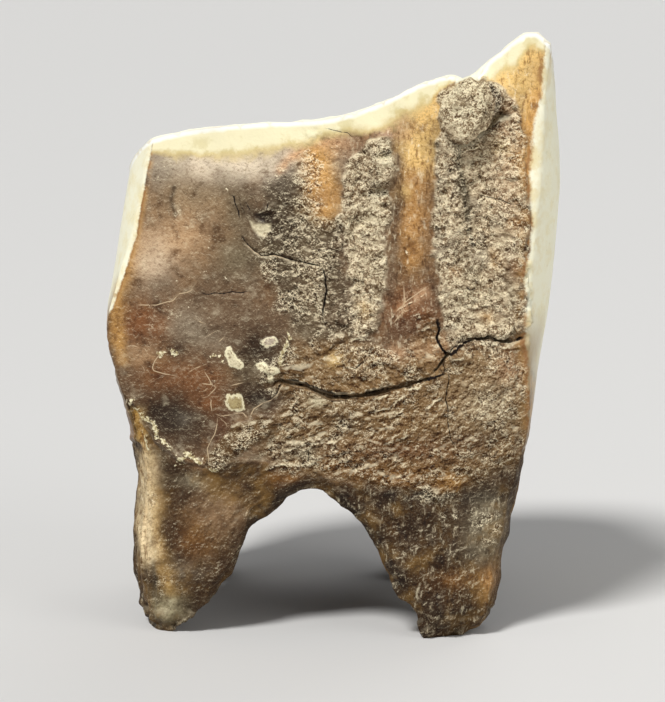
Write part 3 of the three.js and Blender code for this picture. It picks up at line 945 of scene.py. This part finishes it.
def paint_fields(mesh, surface):
    """Stores on the mesh what the material needs to know about each point."""
    front, top, hollow = surface.front, surface.top, surface.hollow
    set_vector(mesh, "tone", soft_tone(surface))
    for name in ("front", "top", "rough", "crust", "slanting", "pale", "root", "bare", "rim"):
        set_field(mesh, name, getattr(surface, name))
    across = 1000 * (surface.points[:, 0] - LOW[0]) / SIZE[0]
    reach = np.interp(across, *zip(*CREST_BAND)) * front + SIDE_BAND * (1 - front)
    covered = 1.2 * smoothstep(surface.cement, -0.6, 0.4)
    set_field(mesh, "crest", surface.rim / reach + covered)
    set_field(mesh, "cement", np.clip(surface.cement, -3, 3))
    ridge = np.maximum(bump(surface.rim - 0.7, 1.2), bump((hollow - 0.8) * 6.5, 1.0))
    set_field(mesh, "ridge", top * ridge)
    set_field(mesh, "pit", top * smoothstep(0.66 - hollow, 0, 0.16))
    flakes = [inside(surface.loose, flake) for _, flake in FLAKES]
    for name, depth in (("flake", np.maximum.reduce(flakes)), ("crumbs", crumb_field(surface))):
        set_field(mesh, name, np.where(front > ON_WALL, depth, -FAR))
    paint_lines(mesh, surface)


def paint_lines(mesh, surface):
    """Stores how far each point is from the cracks, the hairlines and the ledges, and where these show."""
    cracked = surface.at + CRACK_WANDER * surface.drift
    hairlines = [(line, HAIRLINE_WIDTH) for line in HAIRLINES]
    drawn = {
        "crack": (FRACTURES + CRACKS, cracked),
        "hair": (hairlines, surface.at),
        "ledge": (LEDGES, surface.at),
    }
    for name, (lines, at) in drawn.items():
        signed, shown = line_field(at, lines, LINE_REACH)
        set_field(mesh, name, signed)
        set_field(mesh, name + "_on", shown * surface.front)


def crumb_field(surface):
    """Millimetres into the trails of crumbs."""
    crumbs = np.full(len(surface.points), -FAR)
    for line, half_width in CRUMBS:
        crumbs = np.maximum(crumbs, half_width - np.abs(along_line(surface.loose, line)[0]))
    return crumbs + 0.12 * layered(surface.points, 1.1, 2, 131)


END_HEIGHT, END_FACING = 0.4, -0.7

# The share of the mesh's detail that stays: on the other sides, more of it on the wall, and along lines.
KEPT, MORE_KEPT_ON_WALL, KEPT_ON_LINES = 0.10, 0.10, 0.9
KEPT_BESIDE_LINES = 0.6
KEEPING_STRENGTH = 0.02


def weathered_tooth():
    """The fine mesh with its relief and fields. The flat ends of the roots stay flat, for it to stand on."""
    mesh, rim = smooth_copy(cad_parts[NODE])
    points, facing = positions(mesh), normals(mesh)
    surface = Surface(points, facing, rim)
    flat_end = (points[:, 2] < END_HEIGHT) & (facing[:, 2] < END_FACING)
    height = np.where(flat_end, 0, relief(surface))
    paint_fields(mesh, surface)
    set_positions(mesh, points + facing * height[:, None])
    # How far the relief tilts each point up or down; the material paints it as light and shade.
    set_field(mesh, "tilt", normals(mesh)[:, 2] - facing[:, 2])
    return mesh, surface


def thinned(mesh, surface):
    """The mesh with fewer triangles, of which the finest are along the cracks, ledges and hairlines."""
    obj = bpy.data.objects.new("thinned", mesh)
    bpy.context.scene.collection.objects.link(obj)
    mesh.transform(Matrix.Scale(1 / MM, 4))
    keep = KEPT + MORE_KEPT_ON_WALL * surface.front
    for line in [cut[0] for cut in FRACTURES + CRACKS + UNDERCUTS + LEDGES] + HAIRLINES:
        signed, _ = along_line(surface.at, line)
        keep = np.maximum(keep, KEPT_ON_LINES * bump(signed, KEPT_BESIDE_LINES) * surface.front)
    weight_group(obj, "free", 1 - keep)
    thin = obj.modifiers.new("thin", "DECIMATE")
    thin.decimate_type = "COLLAPSE"
    thin.vertex_group = "free"
    thin.vertex_group_factor = KEEPING_STRENGTH
    thin.ratio = FINEST_TRIANGLES / (2 * len(mesh.polygons))
    fewer = applied(obj)
    fewer.transform(Matrix.Scale(MM, 4))
    set_positions(fewer, positions(fewer))
    return fewer


# ---- The material ----

LEAN = 0.45  # how far the slanting plates climb, in radians
# How strong the painted highlight is where the grain faces up.
LEDGE_HIGHLIGHT = 0.75
SATIN, MATT, POLISHED = 0.4, 0.8, 0.32
ROOT_MATTNESS, CHEWED_MATTNESS = 0.5, 0.6
BUMP_STRENGTH, BUMP_DEPTH = 0.9, 0.6
SPECULAR = 0.2


class Nodes:
    """Short names for the shader nodes of one material. Lengths are in millimetres."""

    def __init__(self, material):
        self.tree = material.node_tree
        self.tree.nodes.clear()
        place = self.tree.nodes.new("ShaderNodeTexCoord").outputs["Object"]
        self.place = self.scaled(place, (1 / MM,) * 3)

    def feed(self, socket, value):
        if isinstance(value, bpy.types.NodeSocket):
            self.tree.links.new(value, socket)
        elif isinstance(value, str):
            socket.default_value = (*linear(value), 1)
        else:
            socket.default_value = value

    def add(self, kind, inputs, **settings):
        node = self.tree.nodes.new(kind)
        for name, value in settings.items():
            setattr(node, name, value)
        for name, value in inputs.items():
            self.feed(node.inputs[name], value)
        return node

    def field(self, name, output="Fac"):
        return self.add("ShaderNodeAttribute", {}, attribute_name=name).outputs[output]

    def along(self, axis):
        return self.add("ShaderNodeSeparateXYZ", {"Vector": self.place}).outputs[axis]

    def scaled(self, vector, scale, shift=(0, 0, 0), turn=0.0):
        wanted = {"Vector": vector, "Scale": scale, "Location": shift, "Rotation": (0, turn, 0)}
        return self.add("ShaderNodeMapping", wanted).outputs["Vector"]

    def grain(self, size, seed, detail, coarse=0.6, place=None):
        moved = self.scaled(place or self.place, (1, 1, 1), (seed * 7.3, seed * 3.1, seed * 5.7))
        wanted = {"Vector": moved, "Scale": 1 / size, "Detail": detail, "Roughness": coarse}
        return self.add("ShaderNodeTexNoise", wanted).outputs["Fac"]

    def emboss(self, size, step, seed, detail, coarse, place=None):
        """A grain, and how far it falls a little further up: above 0 where it faces up."""
        place = place or self.place
        grain = self.grain(size, seed, detail, coarse, place)
        above = self.grain(size, seed, detail, coarse, self.scaled(place, (1, 1, 1), (0, 0, step)))
        return grain, self.less(grain, above)

    def ramp(self, value, start, end, low=0.0, high=1.0):
        wanted = {"Value": value, "From Min": start, "From Max": end, "To Min": low, "To Max": high}
        return self.add("ShaderNodeMapRange", wanted, interpolation_type="SMOOTHSTEP").outputs["Result"]

    def math(self, operation, a, b=0.0):
        return self.add("ShaderNodeMath", {0: a, 1: b}, operation=operation).outputs[0]

    def less(self, a, b):
        return self.math("SUBTRACT", a, b)

    def larger(self, a, b):
        return self.math("MAXIMUM", a, b)

    def size(self, a):
        return self.math("ABSOLUTE", a)

    def times(self, *values):
        return functools.reduce(lambda a, b: self.math("MULTIPLY", a, b), values)

    def sum(self, *values):
        return functools.reduce(lambda a, b: self.math("ADD", a, b), values)

    def mix(self, under, over, amount, kind="MIX"):
        node = self.tree.nodes.new("ShaderNodeMix")
        node.data_type = "RGBA"
        node.blend_type = kind
        amount_in, under_in, over_in = (node.inputs[i] for i in (0, 6, 7))
        for socket, value in ((amount_in, amount), (under_in, under), (over_in, over)):
            self.feed(socket, value)
        return node.outputs[2]


class Paint:
    """A colour that layers are laid over. The amounts of a layer are multiplied together."""

    def __init__(self, n, colour):
        self.n = n
        self.colour = colour

    def over(self, layer, *amounts):
        self.colour = self.n.mix(self.colour, layer, self.n.times(*amounts))

    def pale(self, *amounts):
        self.over("pale_grain_and_highlight", *amounts)

    def shade(self, *amounts):
        """Darkens the colour: as a dark stain in some layers and as painted shade in others."""
        self.colour = self.n.mix(self.colour, "dark_stain_and_shade", self.n.times(*amounts), "MULTIPLY")

    def ledges(self, lit, amount, dark=1.0):
        """Painted highlight where the grain faces up, and painted shade beneath it."""
        self.shade(self.n.ramp(lit, 0.0, -0.08), amount, dark)
        self.pale(self.n.ramp(lit, 0.03, 0.11), amount, LEDGE_HIGHLIGHT)


class Patterns:
    """The grains and masks that several layers of the material share."""

    def __init__(self, n):
        self.front, self.rough, self.crust = n.field("front"), n.field("rough"), n.field("crust")
        self.smooth = n.less(1.0, self.rough)
        self.slanting = n.field("slanting")
        self.level = n.less(self.crust, self.slanting)
        self.bare = n.field("bare")
        self.cement = n.field("cement")
        self.root = n.times(n.ramp(n.field("root"), -0.1, 0.6), n.ramp(self.rough, 0, 1, 1, 0.4))
        self.cloud = n.grain(2.4, seed=1, detail=6, coarse=0.62)
        self.fine = n.grain(0.36, seed=2, detail=3)
        self.lumps, self.lumps_lit = n.emboss(1.05, 0.12, seed=3, detail=6, coarse=0.7)
        self.plates, self.plates_lit = n.emboss(2.4, 0.22, seed=4, detail=7, coarse=0.64)
        leaning = n.scaled(n.scaled(n.place, (1, 1, 1), turn=LEAN), (0.8, 1, 1))
        self.slants, self.slants_lit = n.emboss(1.4, 0.18, seed=5, detail=7, coarse=0.68, place=leaning)


def enamel_clouds(n, paint, made):
    """Milky and dark clouds in the smooth enamel, painted highlights and shade on its lumps, and a few
    specks of dust.
    """
    smooth = n.times(made.smooth, n.ramp(made.root, 0, 1, 1, 0.3))
    paint.shade(n.ramp(made.cloud, 0.48, 0.32), smooth, 0.7)
    paint.pale(n.ramp(made.cloud, 0.54, 0.72), smooth, 0.2)
    # Painted highlights on the tops of the lumps and painted shade beneath them.
    paint.ledges(made.lumps_lit, n.times(smooth, 0.34))
    paint.shade(n.ramp(made.fine, 0.47, 0.32, 0, 0.42))
    paint.pale(n.ramp(made.fine, 0.56, 0.72), 0.12)
    streaks(n, paint, made)
    specks = n.ramp(n.grain(0.8, seed=5, detail=4), 0.69, 0.73)
    paint.pale(specks, made.front, n.ramp(n.field("root"), 0.0, -0.4), 0.8)


def streaks(n, paint, made):
    """Upright streaks on the ribs and on the outer edge of the distal root."""
    grain = n.grain(0.7, seed=14, detail=4, coarse=0.66, place=n.scaled(n.place, (1.3, 1, 0.45)))
    ribs = n.times(made.smooth, n.ramp(n.along("X"), -8, 2), made.front)
    fibres = n.times(made.root, n.ramp(n.along("X"), -23, -26), 1.6)
    streaked = n.larger(ribs, fibres)
    paint.shade(n.ramp(grain, 0.47, 0.34), streaked, 0.7)
    paint.pale(n.ramp(grain, 0.56, 0.7), streaked, 0.45)


def rough_grain(n, paint, made):
    """Lumps in the cement and plates on the crust, which slant below the fracture, with painted highlights
    and shade; painted light and shade by tilt.
    """
    cement = n.ramp(made.cement, -0.2, 0.4)
    uncrusted = n.times(made.rough, n.less(1.0, made.crust), 0.9)
    paint.shade(n.ramp(made.cloud, 0.52, 0.4), cement, 0.5)
    # Painted highlights on the tops of the lumps and plates, and painted shade beneath them.
    paint.ledges(made.plates_lit, n.times(cement, 0.5))
    paint.ledges(made.lumps_lit, uncrusted, dark=0.6)
    paint.ledges(made.lumps_lit, n.times(made.crust, 0.45), dark=0.7)
    paint.ledges(made.plates_lit, made.level)
    waxy_root(n, paint, made)
    # Painted light and shade: paler where the relief tilts up, darker where it tilts down.
    tilt = n.field("tilt")
    tilt_lighting = n.times(n.ramp(made.rough, 0, 1, 0.3, 0.8), n.ramp(made.root, 0, 1, 1, 0.6))
    paint.shade(n.ramp(tilt, -0.12, -0.5), tilt_lighting)
    paint.pale(n.ramp(tilt, 0.15, 0.55), tilt_lighting, 0.6)


def waxy_root(n, paint, made):
    """Dark and waxy clouds on the roots, and slanting grain with painted highlights and shade on them and
    below the fracture.
    """
    wax = n.grain(4.5, seed=15, detail=6)
    paint.shade(n.ramp(wax, 0.52, 0.34), made.root, 0.55)
    paint.over("wax", n.ramp(wax, 0.48, 0.7), made.root, 0.55)
    on_root = n.times(made.root, n.ramp(made.cloud, 0.4, 0.62, 0.16, 0.5))
    # Painted highlights on the slanting grain where it faces up, and painted shade beneath.
    paint.ledges(made.slants_lit, n.larger(made.slanting, on_root))


def pale_worms(n, paint, made):
    """Pale rims of tiny grains, painted as highlights only where the lumps face up, with dark gaps beside
    them, which crowd where the pale field is high.
    """
    pale = n.field("pale")
    crowd = n.sum(n.grain(2.2, seed=12, detail=4), n.times(pale, 0.34))
    lit = n.ramp(made.lumps_lit, -0.05, 0.03)
    for size, seed, least in ((0.9, 11, 0.60), (0.5, 13, 0.66)):
        contour = n.grain(size, seed, detail=3)
        shown = n.times(n.ramp(crowd, least, least + 0.12), n.ramp(pale, 0.04, 0.45, 0.05, 1.0), made.front)
        gap = n.times(n.ramp(contour, 0.46, 0.43), n.ramp(contour, 0.34, 0.38))
        paint.shade(gap, shown, 0.8)
        # Painted highlights on the rims, shown where the lumps face up.
        rim = n.ramp(n.size(n.less(contour, 0.5)), 0.042, 0.012)
        paint.pale(rim, shown, lit, 0.75)


def flakes_and_ledges(n, paint, made):
    """Pale rims round the flakes, crumbs of sediment, and ledges with a painted highlight along them and
    painted shade beneath.
    """
    ragged = n.ramp(made.fine, 0.3, 0.7, -0.12, 0.12)
    flake = n.sum(n.field("flake"), ragged)
    paint.shade(n.ramp(flake, 0.0, 0.15), n.ramp(made.lumps, 0.52, 0.38), 0.7)
    paint.over("shard", n.ramp(flake, -0.1, 0.02), n.ramp(flake, 0.3, 0.12), 0.7)
    crumbs = n.sum(n.field("crumbs"), ragged, n.ramp(made.lumps, 0.38, 0.62, -0.3, 0.14))
    crumb_colour = n.mix("dust", "shard", n.ramp(made.fine, 0.42, 0.6))
    paint.over(crumb_colour, n.ramp(crumbs, -0.02, 0.1), 0.9)
    ledge = n.sum(n.field("ledge"), n.ramp(made.fine, 0.3, 0.7, -0.6, 0.6))
    shown = n.times(n.field("ledge_on"), n.ramp(made.lumps, 0.44, 0.56))
    # Painted shade beneath each ledge and a painted highlight along it.
    paint.shade(n.ramp(ledge, -0.8, -1.4), n.ramp(ledge, -3.4, -2.0), shown)
    paint.pale(n.ramp(ledge, -0.9, -0.4), n.ramp(ledge, 0.9, 0.4), shown, 0.75)


def bare_enamel(n, paint, made):
    """The unstained strips: ivory, crisp on the cheek side and stained in patches round the sides."""
    cloud, front = made.cloud, made.front
    edge = n.sum(made.bare, n.ramp(made.fine, 0.3, 0.7, -0.05, 0.05))
    paint.over("golden", n.ramp(edge, -0.9, 0.0), n.ramp(cloud, 0.4, 0.6), 0.6)
    line = n.times(n.ramp(edge, -0.3, -0.08), n.ramp(edge, 0.15, -0.03), n.ramp(cloud, 0.42, 0.6))
    paint.over("russet", line, 0.6, front)
    strip = Paint(n, "ivory")
    strip.over("cream", n.ramp(cloud, 0.45, 0.7))
    strip.over("butter", n.ramp(edge, 1.1, 0.1), n.ramp(cloud, 0.4, 0.6), 0.5)
    strip.over("dust", n.ramp(made.fine, 0.6, 0.72), n.ramp(cloud, 0.5, 0.62), 0.4)
    strip.over("ash_tan", n.ramp(n.along("Z"), 45, 37), n.ramp(edge, 4, 1), front, 0.9)
    soiled = n.ramp(n.less(n.times(cloud, 14.0), made.bare), 2.6, 6.4)
    soil = n.mix("butter", "ochre", n.ramp(cloud, 0.5, 0.7))
    strip.over(soil, soiled, n.ramp(n.along("Y"), -13, -8), 0.75)
    paint.over(strip.colour, n.ramp(edge, -0.06, n.ramp(front, 0, 1, 1.4, 0.22)))


def crest_band(n, paint, made):
    """Under the crest, ground down by chewing, the enamel goes from white, a painted highlight along the
    rim, through cream and butter into the stains.
    """
    wave = n.ramp(n.grain(6, seed=8, detail=2, coarse=0.5), 0.3, 0.7, -0.16, 0.16)
    depth = n.sum(n.field("crest"), wave, n.ramp(made.cloud, 0.3, 0.7, -0.16, 0.16))
    stained = n.ramp(made.bare, 0.1, -0.1)
    paint.over("butter", n.ramp(depth, 1.45, 0.9), stained, 0.85)
    paint.over("cream", n.ramp(depth, 1.08, 0.62), stained)
    specks = n.times(n.ramp(made.cloud, 0.46, 0.6), n.ramp(depth, 0.2, 0.5), n.ramp(depth, 1.2, 0.9), 0.4)
    paint.over("olive", specks, stained, made.front)
    # Painted highlight in white along the rim of the top, where the crest rounds over.
    paint.over("white", n.ramp(n.field("rim"), 0.9, 0.4), n.ramp(made.cement, 0.1, -0.3))


def chewing_surface(n, paint, made):
    """Ivory ridges round brownish dentine, and dark cement in the pits."""
    slow = n.grain(7, seed=10, detail=5)
    chewed = Paint(n, "dentine")
    chewed.over("golden", n.ramp(slow, 0.42, 0.62), 0.6)
    chewed.over("ochre", n.ramp(made.cloud, 0.5, 0.75), n.ramp(slow, 0.45, 0.65), 0.7)
    chewed.over("ivory", n.ramp(n.field("ridge"), 0.35, 0.6))
    chewed.over(n.mix("back", "umber", n.ramp(made.cloud, 0.4, 0.6)), n.field("pit"))
    paint.over(chewed.colour, n.field("top"))


def crack_lines(n, paint, made):
    """Hairlines filled with pale sediment, and open cracks that are dark inside."""
    hair = n.ramp(n.size(n.field("hair")), 1.3, 0.4)
    broken = n.ramp(n.grain(1.4, seed=9, detail=3, coarse=0.5), 0.3, 0.46)
    paint.over("hairline", hair, n.field("hair_on"), broken, 0.75)
    crack = n.sum(n.size(n.field("crack")), n.ramp(made.fine, 0.3, 0.7, -0.5, 0.5))
    paint.over("crack", n.ramp(crack, 1.2, 0.8), n.field("crack_on"))


# The layers of colour, from the slow stains up to the cracks.
LAYERS = (
    enamel_clouds, rough_grain, pale_worms, flakes_and_ledges, bare_enamel, crest_band, chewing_surface,
    crack_lines,
)


def tooth_colour(n, made):
    paint = Paint(n, n.field("tone", "Vector"))
    for layer in LAYERS:
        layer(n, paint, made)
    return paint.colour


def tooth_gloss(n, made):
    matt = n.larger(n.times(made.root, ROOT_MATTNESS), n.times(n.field("top"), CHEWED_MATTNESS))
    weathered = n.ramp(n.larger(made.rough, matt), 0, 1, SATIN, MATT)
    return n.ramp(n.ramp(made.bare, -0.1, 0.5), 0, 1, weathered, POLISHED)


def fine_relief(n, made):
    """Relief too fine for the mesh: the same lumps and plates that the colour shows, and a fine grit."""
    return n.sum(
        n.times(made.lumps, n.ramp(made.rough, 0, 1, 0.14, 0.8)),
        n.times(made.plates, made.level, 1.6),
        n.times(made.slants, n.larger(made.slanting, n.times(made.root, 0.6)), 1.5),
        n.times(made.fine, n.ramp(made.rough, 0, 1, 0.05, 0.15)),
        n.times(made.cloud, 0.08),
    )


def fossil_material():
    material = bpy.data.materials.new("fossil tooth")
    material.use_nodes = True
    n = Nodes(material)
    made = Patterns(n)
    bumped = n.add("ShaderNodeBump", {
        "Height": fine_relief(n, made), "Strength": BUMP_STRENGTH, "Distance": BUMP_DEPTH * MM,
    })
    shader = n.add("ShaderNodeBsdfPrincipled", {
        "Base Color": tooth_colour(n, made), "Roughness": tooth_gloss(n, made),
        "Normal": bumped.outputs["Normal"], "Specular IOR Level": SPECULAR,
    })
    n.add("ShaderNodeOutputMaterial", {"Surface": shader.outputs["BSDF"]})
    return material


# ---- The scene ----

CAMERA_PLACE = (0, -448.7, 105.8)
CAMERA_TARGET = (0, -24, 38.5)
LENS, SENSOR = 169.6, 36
LIT_PLACE = (0, 0, 40)

# The suns: place, energy, and over how many degrees each spreads.
SUNS = {"key": ((-300, -480, 760), 3.0, 14), "behind": ((260, 520, 420), 0.5, 45)}
FILL_PLACE, FILL_SIZE, FILL_WATTS = (480, -380, 260), 420, 1.0
SKY, SKY_STRENGTH = (0.95, 0.97, 1.0, 1), 0.25
FLOOR, FLOOR_ROUGHNESS = (0.66, 0.65, 0.63, 1), 0.8
FLOOR_HALF = 3.0  # metres


def aim(obj, place, target):
    obj.location = Vector(place) * MM
    obj.rotation_euler = (Vector(target) - Vector(place)).to_track_quat("-Z", "Y").to_euler()
    bpy.context.scene.collection.objects.link(obj)


def add_camera():
    camera = bpy.data.cameras.new("camera")
    camera.lens = LENS
    camera.sensor_width = SENSOR
    camera.clip_start = 0.01
    obj = bpy.data.objects.new("camera", camera)
    aim(obj, CAMERA_PLACE, CAMERA_TARGET)
    bpy.context.scene.camera = obj


def add_light(name, kind, place, energy, **settings):
    light = bpy.data.lights.new(name, kind)
    light.energy = energy
    for setting, value in settings.items():
        setattr(light, setting, value)
    aim(bpy.data.objects.new(name, light), place, LIT_PLACE)


def add_lights():
    """Two soft suns, a small lamp to fill the shadows, and a pale sky."""
    for name, (place, energy, spread) in SUNS.items():
        add_light(name, "SUN", place, energy, angle=math.radians(spread))
    add_light("fill", "AREA", FILL_PLACE, FILL_WATTS, shape="SQUARE", size=FILL_SIZE * MM)
    world = bpy.data.worlds.new("world")
    bpy.context.scene.world = world
    world.use_nodes = True
    background = world.node_tree.nodes["Background"]
    background.inputs["Color"].default_value = SKY
    background.inputs["Strength"].default_value = SKY_STRENGTH


def add_floor():
    mesh = bpy.data.meshes.new("floor")
    corners = [(FLOOR_HALF * x, FLOOR_HALF * y, 0) for x, y in ((-1, -1), (1, -1), (1, 1), (-1, 1))]
    mesh.from_pydata(corners, [], [(0, 1, 2, 3)])
    material = bpy.data.materials.new("floor")
    material.use_nodes = True
    shader = material.node_tree.nodes["Principled BSDF"]
    shader.inputs["Base Color"].default_value = FLOOR
    shader.inputs["Roughness"].default_value = FLOOR_ROUGHNESS
    mesh.materials.append(material)
    floor = bpy.data.objects.new("floor", mesh)
    bpy.context.scene.collection.objects.link(floor)


def add_tooth():
    mesh, surface = weathered_tooth()
    mesh = thinned(mesh, surface)
    mesh.name = "fossil tooth"
    mesh.materials.clear()
    mesh.materials.append(fossil_material())
    mesh.polygons.foreach_set("use_smooth", [True] * len(mesh.polygons))
    piece = bpy.data.objects.new("fossil_tooth", mesh)
    bpy.context.scene.collection.objects.link(piece)
    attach(piece, "root")
    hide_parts(NODE)


add_tooth()
add_floor()
add_lights()
add_camera()
bpy.context.scene.view_settings.view_transform = "Standard"
